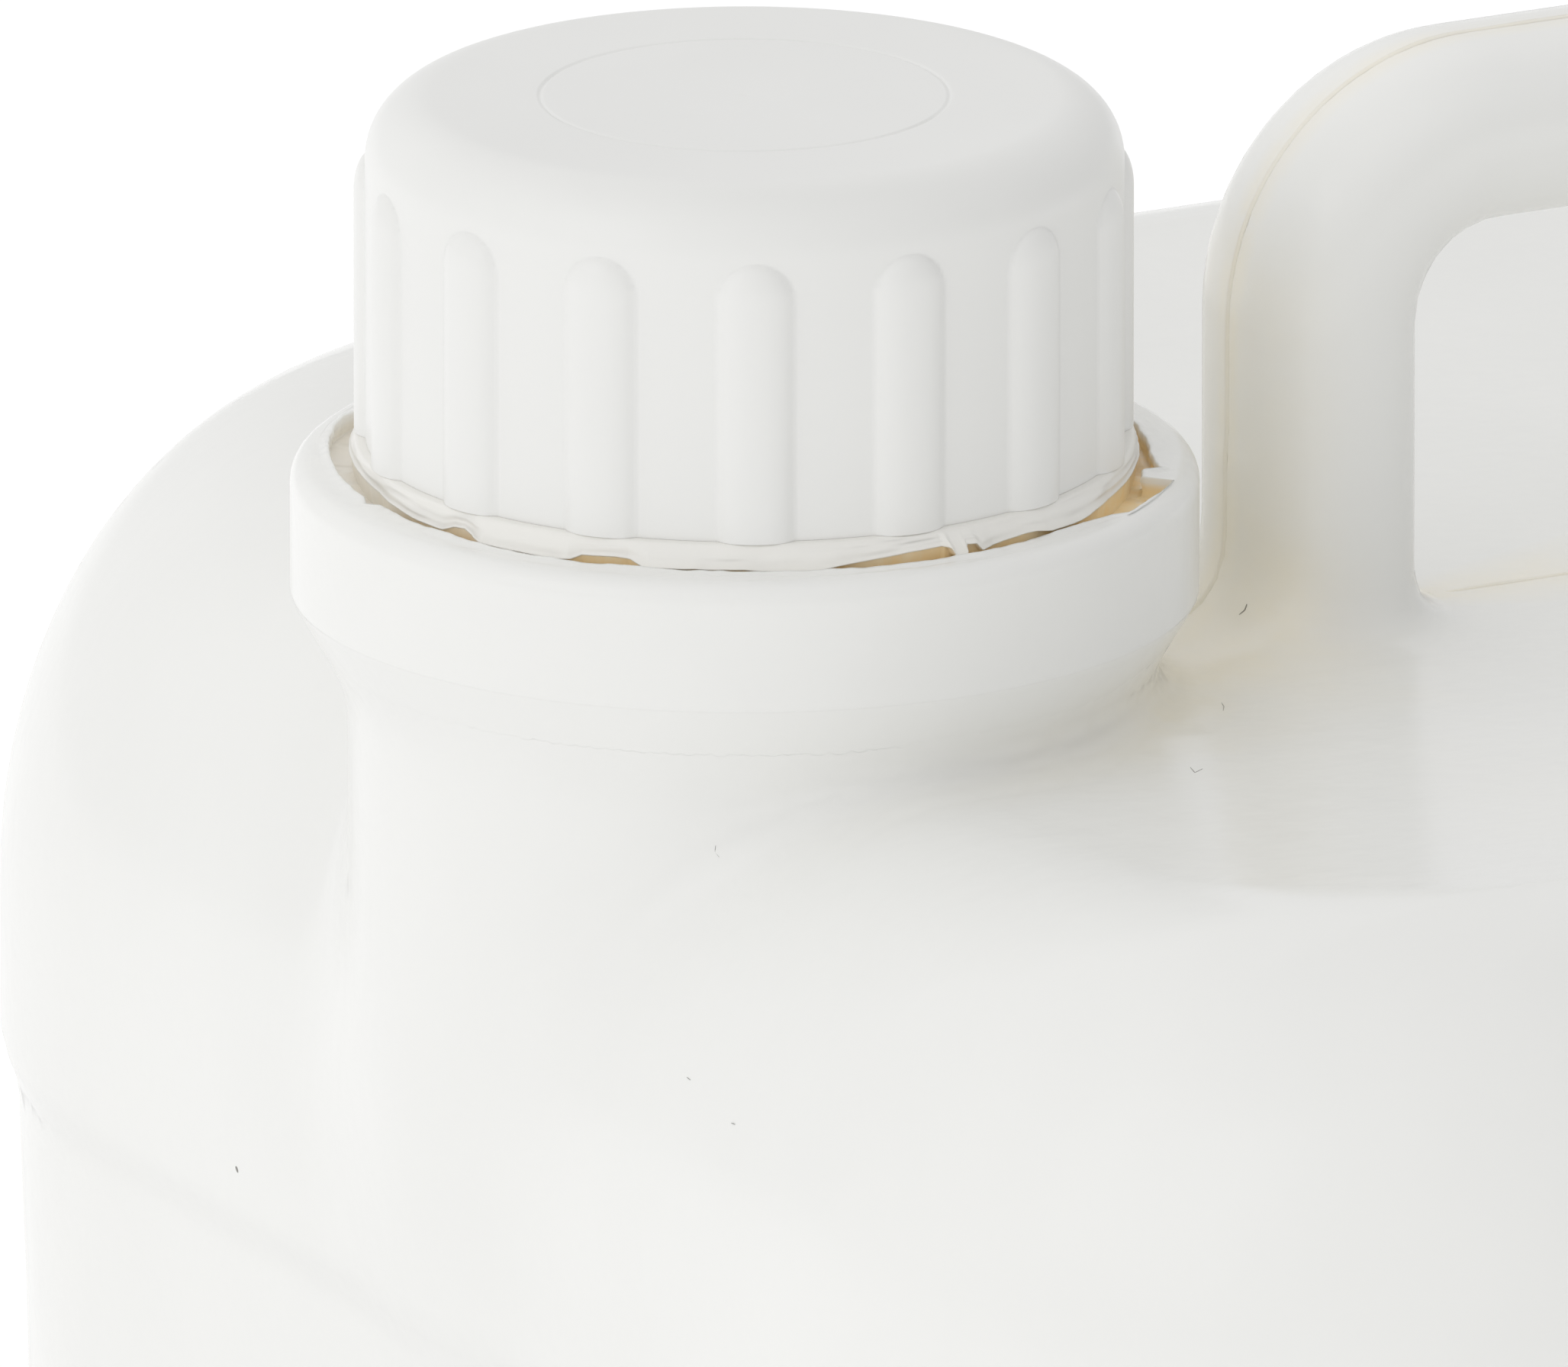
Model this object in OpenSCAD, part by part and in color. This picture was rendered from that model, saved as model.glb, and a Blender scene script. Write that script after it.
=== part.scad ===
// Ten-litre blow-moulded jug with an integral handle, a ribbed screw cap and
// the torn remains of its tamper-evident band.
// Frame: +Z up, the base stands at Z = 0, +X runs from the neck along the
// handle, and the origin is under the middle of the overall outline.

/* [Body] */
// Length of the body along the handle
body_l = 238; // [220:0.5:260]
// Width of the body across the handle
body_w = 217.8; // [206:0.2:226]
// Height of the neck's collar rim above the base
rim_z = 257.5; // [240:0.5:280]
// Radius of the upright corners, seen from above
corner_r = 54.5; // [52:0.5:54.5]
// Thickness of the blown wall
wall = 1.5; // [1.2:0.1:1.8]
// Radius where the walls turn into the base
base_r = 10; // [8:0.5:12]
// Height of the pushed-up panel in the base
push_up = 3; // [2:0.25:4]

/* [Shoulder and label panel] */
// Depth of the top deck below the collar rim, on the handle's line
deck_drop = 18.2; // [17.5:0.1:20]
// How much higher the deck stands at its two long edges
deck_rise = 4.7; // [3:0.1:4.7]
// Plan width of the rounded shoulder
shoulder_h = 27; // [22:0.2:28]
// Height of the rounded shoulder
shoulder_v = 36.4; // [32:0.1:38]
// Depth of the label panel all round the body
panel_depth = 2; // [1.5:0.1:2.2]
// Height of the sloping step at the label panel's two ends
panel_step = 5; // [4:0.1:6]

/* [Neck] */
// Distance from the body's end to the neck's axis
neck_in = 26.5; // [25:0.1:29]
// Outer radius of the neck column under the collar
column_r = 28.9; // [28.6:0.1:30]
// Outer radius of the collar ring
collar_r = 33.1; // [32.6:0.1:33.6]
// Inner radius of the collar ring
collar_in_r = 29.9; // [29.6:0.1:30.2]
// Outer radius of the neck tube
neck_r = 24.3; // [24:0.1:24.5]
// Radius of the neck's bore
bore_r = 21.5; // [20.5:0.1:22]
// Height of the neck's lip above the collar rim
lip_h = 24.1; // [23.6:0.1:24.5]
// Depth of the groove between the neck tube and the collar ring
groove_d = 8; // [7:0.1:8.2]

/* [Handle] */
// Distance from the neck's axis to the handle's first leg
handle_x = 39.9; // [39:0.1:44]
// Length of the finger opening
grip_l = 96.6; // [80:0.1:100]
// Thickness of the handle, seen from the side
bar_t = 13.5; // [13:0.1:16]
// Width of the handle, seen from above
bar_w = 17.5; // [16:0.1:20]
// Height of the handle's top above the collar rim
bar_top = 24.3; // [23:0.1:27]
// Radius of the handle's bends along the middle of the bar
bend_r = 12.8; // [10:0.1:16]
// Radius of the cove where the first leg meets the deck beside the neck
cove_r = 7; // [5:0.1:7]

/* [Cap] */
// Radius of the cap's side between its ribs
cap_r = 27.6; // [27.4:0.1:27.8]
// Radius of the cap over its ribs
rib_r = 28.5; // [28.3:0.1:28.5]
// Number of grip ribs
rib_count = 15; // [12:1:18]
// Height of the cap's top above the collar rim
cap_top = 27.5; // [27:0.1:28.5]
// Radius of the cap's rounded top edge
cap_edge = 4.8; // [4:0.1:5]
// Height of the skirt's lower edge above the collar rim
skirt_z = 1.7; // [1.7:0.1:2.5]
// Radius inside the cap's skirt
cap_in_r = 25.9; // [25.8:0.05:26]
// Thickness of the liner disc
liner_t = 1.4; // [1:0.1:1.4]

/* [Tamper band] */
// Inner radius of the torn band
band_in_r = 27.7; // [27.6:0.1:27.8]
// Thickness of the torn band
band_t = 0.9; // [0.8:0.1:1]
// Height of the torn band's top above the collar rim
band_top = 1.4; // [1:0.1:1.4]

/* [Hidden] */
$fn = 96;

neck_x = -(body_l - neck_in - collar_r) / 2;   // the neck's axis in the part's frame
body_x = neck_x - neck_in + body_l / 2;        // the body's middle
leg2_x = handle_x + bar_t + grip_l;            // where the second leg starts
deck_z = rim_z - deck_drop;
edge_z = deck_z + deck_rise;
// a long cylinder across the top makes the deck's shallow valley
valley_half = body_w / 2 - shoulder_h;
valley_r = (valley_half * valley_half + deck_rise * deck_rise) / (2 * deck_rise);
panel_top = edge_z - shoulder_v - 10.3;
panel_low = base_r + 8;

// one side of the body from the deck's edge down to the base, drawn out
// from the corner's centre; t moves it inwards by the wall
function side(t) = let (r = corner_r - t, ah = shoulder_h - t, av = shoulder_v - t, b = base_r - t)
    concat(
        [[0, edge_z - t]],
        [for (i = [0:9]) let (a = 90 - i * 10) [r - ah + ah * cos(a), edge_z - t - av + av * sin(a)]],
        [[r, panel_top], [r - 0.7 * panel_depth, panel_top - panel_step],
         [r - panel_depth, panel_top - panel_step - 20],
         [r - panel_depth, panel_low + panel_step], [r, panel_low]],
        [for (i = [0:6]) let (a = -i * 15) [r - b + b * cos(a), base_r + b * sin(a)]],
        [[r - b - 12, t], [r - b - 20, t + push_up], [0, t + push_up]]);

// the whole body as a closed solid, t inside its outer surface
module body_solid(t) {
    dx = body_l / 2 - corner_r;
    dy = body_w / 2 - corner_r;
    difference() {
        translate([body_x, 0, 0]) union() {
            translate([dx, dy, 0]) rotate_extrude(angle = 90) polygon(side(t));
            translate([-dx, dy, 0]) rotate([0, 0, 90]) rotate_extrude(angle = 90) polygon(side(t));
            translate([-dx, -dy, 0]) rotate([0, 0, 180]) rotate_extrude(angle = 90) polygon(side(t));
            translate([dx, -dy, 0]) rotate([0, 0, 270]) rotate_extrude(angle = 90) polygon(side(t));
            translate([dx, dy, 0]) rotate([90, 0, 0]) linear_extrude(2 * dy) polygon(side(t));
            translate([-dx, -dy, 0]) rotate([90, 0, 180]) linear_extrude(2 * dy) polygon(side(t));
            translate([-dx, dy, 0]) rotate([90, 0, 90]) linear_extrude(2 * dx) polygon(side(t));
            translate([dx, -dy, 0]) rotate([90, 0, 270]) linear_extrude(2 * dx) polygon(side(t));
            translate([-dx, -dy, t + push_up]) cube([2 * dx, 2 * dy, edge_z - push_up - 2 * t]);
        }
        translate([-body_l, 0, deck_z + valley_r])
            rotate([0, 90, 0]) cylinder(r = valley_r + t, h = 2 * body_l, $fn = 360);
    }
}

// outside of the neck column, collar and tube
module neck_outside() {
    translate([neck_x, 0, rim_z]) rotate_extrude() polygon([
        [0, -62], [25.2, -62], [column_r, -44], [column_r, -17],
        [collar_r, -9.5], [collar_r, -1.3], [collar_r - 0.4, -0.4], [collar_r - 1.3, 0],
        [collar_in_r, 0], [collar_in_r, -groove_d], [neck_r, -groove_d],
        [neck_r, -0.4], [neck_r + 1.1, -0.3], [neck_r + 1.1, 0], [neck_r, 0.6],
        [neck_r, lip_h - 0.6], [neck_r - 0.6, lip_h], [0, lip_h]]);
}

// the way down through the neck into the body
module neck_inside() {
    translate([neck_x, 0, rim_z]) rotate_extrude() polygon([
        [0, -64], [23.6, -64], [column_r - wall, -45], [column_r - wall, -17.6],
        [bore_r + 2.6, -groove_d - 2.4], [bore_r, -groove_d - 1.2],
        [bore_r, lip_h - 0.5], [bore_r + 0.5, lip_h + 0.1], [0, lip_h + 0.1]]);
}

// section of the handle, a rounded shape with full sides; t makes the inside
function bar_section(t) = [for (i = [0:31]) let (a = i * 11.25, c = cos(a), s = sin(a))
    [(bar_t / 2 - t) * sign(c) * pow(abs(c), 0.78), (bar_w / 2 - t) * sign(s) * pow(abs(s), 0.78)]];

// the handle as one bent tube from deck to deck
module handle_solid(t) {
    top = bar_top - bar_t / 2;
    leg = top - bend_r + deck_drop + 6;
    x1 = handle_x + bar_t / 2;
    x2 = leg2_x + bar_t / 2;
    translate([neck_x, 0, rim_z]) union() {
        translate([x1, 0, top - bend_r - leg]) linear_extrude(leg) polygon(bar_section(t));
        translate([x2, 0, top - bend_r - leg]) linear_extrude(leg) polygon(bar_section(t));
        translate([x1 + bend_r, 0, top - bend_r]) rotate([-90, 180, 0])
            rotate_extrude(angle = 90) translate([bend_r, 0]) polygon(bar_section(t));
        translate([x2 - bend_r, 0, top - bend_r]) rotate([-90, 270, 0])
            rotate_extrude(angle = 90) translate([bend_r, 0]) polygon(bar_section(t));
        translate([x1 + bend_r, 0, top]) rotate([90, 0, 90])
            linear_extrude(x2 - x1 - 2 * bend_r) rotate([0, 0, 90]) polygon(bar_section(t));
    }
}

// cove that fills the corner between the first leg and the deck
module cove() {
    translate([neck_x, 0, rim_z]) difference() {
        translate([handle_x - cove_r, -bar_w / 2 + 2, -deck_drop - 3])
            cube([cove_r + 2, bar_w - 4, cove_r + 3]);
        translate([handle_x - cove_r, bar_w, -deck_drop + cove_r])
            rotate([90, 0, 0]) cylinder(r = cove_r, h = 2 * bar_w);
    }
}

module jug_body() {
    color([0.93, 0.93, 0.91])
    difference() {
        union() {
            body_solid(0);
            neck_outside();
            handle_solid(0);
            cove();
        }
        body_solid(wall);
        neck_inside();
        handle_solid(wall);
    }
}

// torn band left standing in the groove: a thin tube with an outward lip
// whose top is broken away in places
module tamper_band() {
    color([0.92, 0.91, 0.87])
    translate([neck_x, 0, rim_z]) difference() {
        rotate_extrude() polygon([
            [band_in_r, -groove_d], [band_in_r + band_t, -groove_d],
            [band_in_r + band_t, band_top - 1], [band_in_r + band_t + 0.6, band_top - 0.8],
            [band_in_r + band_t + 0.6, band_top], [band_in_r, band_top]]);
        for (k = [0:8]) rotate([0, 0, 17 + k * 41])
            translate([25, -2 - (k % 3), band_top - 0.5 - 0.25 * (k % 4)])
                cube([6, 4 + 2 * (k % 3), 3]);
    }
}

// sealing disc held in the cap's roof
module cap_liner() {
    color([0.9, 0.9, 0.88])
    translate([neck_x, 0, rim_z + lip_h]) cylinder(r = cap_in_r - 0.3, h = liner_t);
}

// threaded cap with a rounded edge and round-topped grip ribs
module screw_cap() {
    roof = lip_h + liner_t;
    rr = rib_r - cap_r + 3.85;
    color([0.94, 0.94, 0.93])
    translate([neck_x, 0, rim_z]) difference() {
        union() {
            rotate_extrude() polygon(concat(
                [[0, skirt_z], [cap_r, skirt_z]],
                [for (i = [0:9]) let (a = i * 10)
                    [cap_r - cap_edge + cap_edge * cos(a), cap_top - cap_edge + cap_edge * sin(a)]],
                [[0, cap_top]]));
            for (k = [0:rib_count - 1]) rotate([0, 0, 243.7 + k * 360 / rib_count])
                translate([rib_r - rr, 0, skirt_z + 0.3]) {
                    cylinder(r = rr, h = 17.4);
                    translate([0, 0, 17.4]) cylinder(r1 = rr, r2 = rr - 1.2, h = 3);
                }
        }
        translate([0, 0, skirt_z - 1]) cylinder(r = cap_in_r, h = roof - skirt_z + 1);
    }
}

jug_body();
tamper_band();
cap_liner();
screw_cap();
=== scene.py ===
import bpy, math
import numpy as np
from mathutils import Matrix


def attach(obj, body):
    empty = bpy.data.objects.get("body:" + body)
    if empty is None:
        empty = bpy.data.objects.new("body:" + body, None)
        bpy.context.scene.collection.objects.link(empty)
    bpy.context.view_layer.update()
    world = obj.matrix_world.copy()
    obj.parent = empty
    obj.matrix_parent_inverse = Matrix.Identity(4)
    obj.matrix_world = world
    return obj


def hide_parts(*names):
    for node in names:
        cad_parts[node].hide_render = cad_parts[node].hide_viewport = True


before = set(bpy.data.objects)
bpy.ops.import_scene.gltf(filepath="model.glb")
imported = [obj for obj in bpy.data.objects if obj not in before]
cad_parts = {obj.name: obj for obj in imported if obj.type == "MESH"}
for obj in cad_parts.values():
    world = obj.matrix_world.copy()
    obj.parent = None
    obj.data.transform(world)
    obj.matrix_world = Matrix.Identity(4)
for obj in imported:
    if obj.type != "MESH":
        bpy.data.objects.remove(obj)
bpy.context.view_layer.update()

import openvdb
from mathutils import Vector, Matrix

# ---------------------------------------------------------------------------
# Everything below is worked out in millimetres from the neck: the neck's axis
# is X = Y = 0, and Z = 0 is the collar's rim. to_row() gives the part's frame.
# ---------------------------------------------------------------------------
NECK_X, RIM_Z = -89.2, 257.5


def to_row(p):
    p = np.asarray(p, float)
    out = np.empty_like(p)
    out[..., 0] = (p[..., 0] + NECK_X) / 1000
    out[..., 1] = p[..., 1] / 1000
    out[..., 2] = (p[..., 2] + RIM_Z) / 1000
    return out


def smooth(e0, e1, v):
    t = np.clip((v - e0) / (e1 - e0), 0, 1)
    return t * t * (3 - 2 * t)


def smin(a, b, k):
    h = np.clip(0.5 + 0.5 * (b - a) / k, 0, 1)
    return b + (a - b) * h - k * h * (1 - h)


def wave(theta, seed, lo, hi, n=14):
    """A closed ragged line: a sum of waves round the circle, about -1 to 1."""
    rng = np.random.default_rng(seed)
    out = np.zeros_like(theta)
    ks = np.unique(np.round(np.geomspace(lo, hi, n)).astype(int))
    for k in ks:
        out += rng.uniform(0.5, 1.0) * np.cos(k * theta + rng.uniform(0, 2 * math.pi)) / k ** 0.55
    return out / np.abs(out).max()


# ---------------------------------------------------------------------------
# The blown body as one smooth implicit surface
# ---------------------------------------------------------------------------
BODY_CX, BODY_HX, BODY_HY, CORNER = 92.5, 118.85, 108.9, 54.5
SH_H, SH_V, DECK, EDGE = 27.0, 36.4, -18.2, -13.5
SH_C = EDGE - SH_V
BASE = -257.5
H_X1, H_X2, H_Z, H_BEND = 46.65, 156.75, 17.55, 12.9   # handle's middle line
H_HU, H_HY, H_N = 6.75, 8.75, 2.56                   # handle's section
COL_TOP = -11.0                                      # the blend's own collar is cut here, inside the ring


def column_r(z):
    """Radius of the neck's outside under the rim: collar cone, straight column, tapered tail."""
    cone = np.minimum(33.25 + (z + 9.3) * 0.567, 33.25)
    tail = np.clip((-43.0 - z) / 25.0, 0, 2.6)
    col = 28.9 - 6.4 * tail * tail
    h = np.clip(0.5 + 0.5 * (cone - col) / 1.5, 0, 1)
    return col + (cone - col) * h + 1.5 * h * (1 - h)


def f_body(x, y, z):
    qx = np.abs(x - BODY_CX) - (BODY_HX - CORNER)
    qy = np.abs(y) - (BODY_HY - CORNER)
    d2 = np.hypot(np.maximum(qx, 0), np.maximum(qy, 0)) + np.minimum(np.maximum(qx, qy), 0) - CORNER
    s = -d2 - (1.38 * smooth(-60.4, -65.8, z) + 0.60 * smooth(-64.0, -88, z)) * smooth(-239.6, -234.4, z)
    # shoulder
    yv = np.minimum(np.abs(y), 81.9) / 81.9
    zt = DECK + (EDGE - DECK) * yv * yv
    rv = zt - SH_C
    a = np.maximum((SH_H - s) / SH_H, 0)
    b = np.maximum((z - SH_C) / rv, 0)
    q = np.sqrt(a * a + b * b)
    g = np.sqrt((a / SH_H) ** 2 + (b / rv) ** 2) / np.maximum(q, 1e-6)
    ft = np.where(q > 0.05, (q - 1) / np.maximum(g, 1e-4), -15.0)
    # base edge and the pushed-up panel
    a = np.maximum((10 - s) / 10, 0)
    b = np.maximum((BASE + 10 - z) / 10, 0)
    q = np.sqrt(a * a + b * b)
    fb = 10 * (q - 1)
    floor = BASE + 3.0 * smooth(21, 31, s)
    fb = np.where(s > 10, np.maximum(fb, floor - z), fb)
    return np.maximum(ft, fb)


def f_handle(x, y, z):
    cx, hx, hz = (H_X1 + H_X2) / 2, (H_X2 - H_X1) / 2, 60.0
    qx = np.abs(x - cx) - (hx - H_BEND)
    qz = np.abs(z - (H_Z - hz)) - (hz - H_BEND)
    u = np.hypot(np.maximum(qx, 0), np.maximum(qz, 0)) + np.minimum(np.maximum(qx, qz), 0) - H_BEND
    au, ay = np.abs(u) / H_HU + 1e-9, np.abs(y) / H_HY + 1e-9
    q = (au ** H_N + ay ** H_N) ** (1 / H_N)
    gu = (au / q) ** (H_N - 1) / H_HU
    gy = (ay / q) ** (H_N - 1) / H_HY
    f = (q - 1) / np.sqrt(gu * gu + gy * gy)
    f = np.where(q < 0.15, -5.5, f)
    return np.maximum(f, -30.0 - z)


def f_column(x, y, z):
    r = np.hypot(x, y)
    f = (r - column_r(z)) * 0.9
    return np.maximum(f, z - COL_TOP)


def f_jug(x, y, z):
    body = f_body(x, y, z)
    f = smin(body, f_column(x, y, z), 4.4)
    # the cove beside the neck is wider than the fillets round the legs
    k = 4.6 + 4.0 * smooth(45, 38, x)
    f = smin(f, f_handle(x, y, z), k)
    # the bore under the neck
    bore = np.maximum(np.hypot(x, y) - 22.0, -42 - z)
    return np.maximum(f, -bore)


def grad(fn, p, e=0.04):
    x, y, z = p[:, 0], p[:, 1], p[:, 2]
    return np.stack([
        fn(x + e, y, z) - fn(x - e, y, z),
        fn(x, y + e, z) - fn(x, y - e, z),
        fn(x, y, z + e) - fn(x, y, z - e)], 1) / (2 * e)


def project(fn, p, steps=5, cap=0.8):
    for _ in range(steps):
        g = grad(fn, p)
        v = fn(p[:, 0], p[:, 1], p[:, 2])
        step = v / np.maximum((g * g).sum(1), 0.25)
        step = np.clip(step, -cap, cap)
        p = p - g * step[:, None]
    return p


def implicit_mesh(fn, lo, hi, voxel, adaptivity):
    """Points, quads and triangles of fn = 0, moved exactly onto it, with its normals."""
    n = [int(math.ceil((hi[i] - lo[i]) / voxel)) + 1 for i in range(3)]
    ax = [lo[i] + voxel * np.arange(n[i]) for i in range(3)]
    vals = np.empty(n, np.float32)
    yy, zz = np.meshgrid(ax[1], ax[2], indexing="ij")
    for i, xv in enumerate(ax[0]):
        vals[i] = fn(np.full_like(yy, xv), yy, zz)
    np.clip(vals, -3 * voxel, 3 * voxel, out=vals)
    grid = openvdb.FloatGrid(3 * voxel)
    grid.gridClass = openvdb.GridClass.LEVEL_SET
    grid.copyFromArray(vals)
    pts, tris, quads = grid.convertToPolygons(isovalue=0.0, adaptivity=adaptivity)
    pts = np.asarray(pts, float) * voxel + np.asarray(lo, float)
    pts = project(fn, pts)
    nrm = grad(fn, pts)
    nrm /= np.maximum(np.linalg.norm(nrm, axis=1, keepdims=True), 1e-9)
    tri = np.asarray(tris, int).reshape(-1, 3)
    quad = np.asarray(quads, int).reshape(-1, 4)
    if len(quad):                               # outward winding
        f = quad[0]
        if np.dot(np.cross(pts[f[1]] - pts[f[0]], pts[f[2]] - pts[f[0]]), nrm[f[0]]) < 0:
            quad, tri = quad[:, ::-1], tri[:, ::-1]

    def fair(t):
        """How well each triangle faces the way its surface does."""
        a, b, c = (pts[t[:, k]] for k in range(3))
        v = np.cross(b - a, c - a)
        v /= np.maximum(np.linalg.norm(v, axis=1, keepdims=True), 1e-9)
        return np.minimum.reduce([(v * nrm[t[:, k]]).sum(1) for k in range(3)])

    # a quad is cut along the diagonal that leaves no fold in it
    one, two = (quad[:, [0, 1, 2]], quad[:, [0, 2, 3]]), (quad[:, [1, 2, 3]], quad[:, [0, 1, 3]])
    first = (np.minimum(fair(one[0]), fair(one[1])) >= np.minimum(fair(two[0]), fair(two[1])))[:, None]
    tri = np.concatenate([tri, np.where(first, one[0], two[0]), np.where(first, one[1], two[1])])
    return pts, list(map(tuple, tri.tolist())), nrm


# ---------------------------------------------------------------------------
# Revolved grids: rows of a profile round the neck, each row its own radius and
# height at every angle
# ---------------------------------------------------------------------------
def revolve(rad, hgt, theta, closed=True):
    """rad and hgt are (rows, angles). Returns points, quads."""
    rows, cols = rad.shape
    pts = np.stack([rad * np.cos(theta)[None], rad * np.sin(theta)[None], hgt], 2).reshape(-1, 3)
    faces = []
    last = rows if closed else rows - 1
    idx = np.arange(rows * cols).reshape(rows, cols)
    for i in range(last):
        j = (i + 1) % rows
        a, b = idx[i], idx[j]
        a2, b2 = np.roll(a, -1), np.roll(b, -1)
        faces += list(map(tuple, np.stack([a, a2, b2, b], 1).tolist()))
    return pts, faces


def grid_normals(pts, faces):
    """Area-weighted vertex normals."""
    n = np.zeros_like(pts)
    arr = np.array([f if len(f) == 4 else (f[0], f[1], f[2], f[2]) for f in faces])
    a, b, c, d = (pts[arr[:, k]] for k in range(4))
    fn = np.cross(c - a, d - b)
    for k in range(4):
        np.add.at(n, arr[:, k], fn)
    return n / np.maximum(np.linalg.norm(n, axis=1, keepdims=True), 1e-12)


def build(name, parts, attrs=()):
    """One mesh object out of several (points, faces, normals or None), in mm from the neck.
    attrs: {name: function(points in mm) -> value a vertex}."""
    allp, allf, alln, base = [], [], [], 0
    for pts, faces, nrm in parts:
        allp.append(pts)
        alln.append(grid_normals(pts, faces) if nrm is None else nrm)
        allf += [tuple(i + base for i in f) for f in faces]
        base += len(pts)
    p, n = np.concatenate(allp), np.concatenate(alln)
    me = bpy.data.meshes.new(name)
    me.from_pydata(to_row(p).tolist(), [], allf)
    me.update()
    me.polygons.foreach_set("use_smooth", [True] * len(me.polygons))
    me.normals_split_custom_set_from_vertices(n.tolist())
    for aname, values in dict(attrs).items():
        layer = me.attributes.new(aname, "FLOAT", "POINT")
        layer.data.foreach_set("value", np.asarray(values(p), np.float32))
    ob = bpy.data.objects.new(name, me)
    bpy.context.scene.collection.objects.link(ob)
    return ob


# direction of the camera round the neck, as the angle of the ring's near side
NEAR = math.radians(242)


def beta(theta):
    """Degrees round the ring from the side nearest the camera, + to its right."""
    return (np.degrees(theta - NEAR) + 180) % 360 - 180


# ---------------------------------------------------------------------------
# Neck finish: collar ring, groove and threaded tube
# ---------------------------------------------------------------------------
def ring_inner(b):
    """Radius of the collar ring's torn inner edge by angle."""
    t = [(-180, 29.9), (-140, 30.0), (-118, 30.6), (-107, 31.0), (-98, 30.5), (-86, 29.85), (-75, 29.6), (-69, 29.5),
         (-66.5, 29.9), (-64.5, 29.1), (-60, 29.15), (-50, 29.3), (-44, 29.45), (-30, 29.5), (-20, 29.7), (-13, 29.5),
         (-4, 29.55), (10, 29.75), (24, 29.95), (31, 29.9), (34, 30.2), (38, 29.7), (50, 29.7), (57, 29.8), (60.5, 30.5),
         (62, 31.35), (69, 31.4), (76.5, 31.6), (79.0, 31.7), (79.8, 29.3), (83.2, 29.0), (84.2, 30.4), (87, 30.0), (92, 29.5),
         (110, 29.7), (140, 30.0), (180, 29.9)]
    return np.interp(b, [v[0] for v in t], [v[1] for v in t])


def neck_ring():
    n = 1080
    th = np.linspace(0, 2 * math.pi, n, endpoint=False)
    b = beta(th)
    rag = wave(th, 3, 9, 90)
    rag2 = wave(th, 5, 20, 160)
    soft = wave(th, 14, 3, 26)
    ri = ring_inner(b) + 0.08 * rag + 0.05 * rag2
    burr = 0.10 + 0.09 * rag2 + 0.20 * np.maximum(wave(th, 8, 7, 40), 0)
    o = np.ones(n)
    R, Z = [], []
    # the collar's cone, laid a hair over the blended neck and sinking into it lower down
    for z, off in [(-20.0, -0.62), (-19.0, -0.46), (-18.0, -0.33), (-17.0, -0.22), (-16.0, -0.135), (-15.0, -0.07),
                   (-14.0, -0.02), (-13.0, 0.01), (-12.0, 0.03), (-11.0, 0.035), (-10.2, 0.035), (-9.62, 0.03)]:
        turn = (th + math.pi) % (2 * math.pi) - math.pi
        R.append((column_r(np.array(z)) + off) * o - 0.9 * smooth(-11.5, -14.5, z) * np.exp(-(turn / 0.75) ** 4))
        Z.append(z * o)
    for r, z in [(33.08, -9.48), (33.10, -9.36), (33.10, -9.22), (33.10, -9.0), (33.10, -8.6), (33.10, -5.0), (33.10, -2.1)]:
        R.append(r * o)
        Z.append(z * o)
    for k in range(0, 8):                        # rounded outer edge of the rim
        a = math.radians(k * 90 / 7)
        R.append((31.65 + 1.45 * math.cos(a)) * o + 0.03 * rag * math.sin(a))
        Z.append((-1.7 + 1.7 * math.sin(a)) * o + 0.02 * soft * math.sin(a))
    for t in (0.18, 0.38, 0.58, 0.76):           # the flat of the rim, a little uneven
        R.append((1 - t) * 31.65 + t * np.minimum(ri + 0.5, 31.6))
        Z.append(0.02 * o + (0.035 + 0.05 * t) * wave(th, 60 + int(t * 100), 6, 70) + 0.03 * soft)
    R.append(np.minimum(ri + 0.42, 31.72))
    Z.append(0.03 + 0.5 * burr)
    R.append(ri + 0.16)
    Z.append(burr + 0.02)
    R.append(ri)
    Z.append(burr - 0.10)
    R.append(ri - 0.05 + 0.05 * rag2)
    Z.append(-0.35 + 0.4 * burr)
    R.append(ri + 0.08)
    Z.append(-0.75 * o)
    R.append(ri + 0.10)
    Z.append(-1.1 * o)
    # dried product lies in the groove between the ring and the tube; its amber colour also holds a painted glow of
    # light through the plastic
    fl = -1.5 + 0.22 * wave(th, 12, 5, 60) + 0.25 * smooth(56, 66, b) * smooth(100, 88, b) + 0.3 * smooth(-60, -70, b)
    R.append(ri + 0.02)
    Z.append(fl)
    R.append(0.5 * (ri + 28.6))
    Z.append(fl - 0.12 + 0.10 * rag2)
    R.append(28.5 * o)
    Z.append(fl - 0.1)
    R.append(24.0 * o)
    Z.append(fl - 0.1)
    R.append(24.0 * o)
    Z.append(-20.0 * o)
    return revolve(np.array(R), np.array(Z), th)


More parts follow.
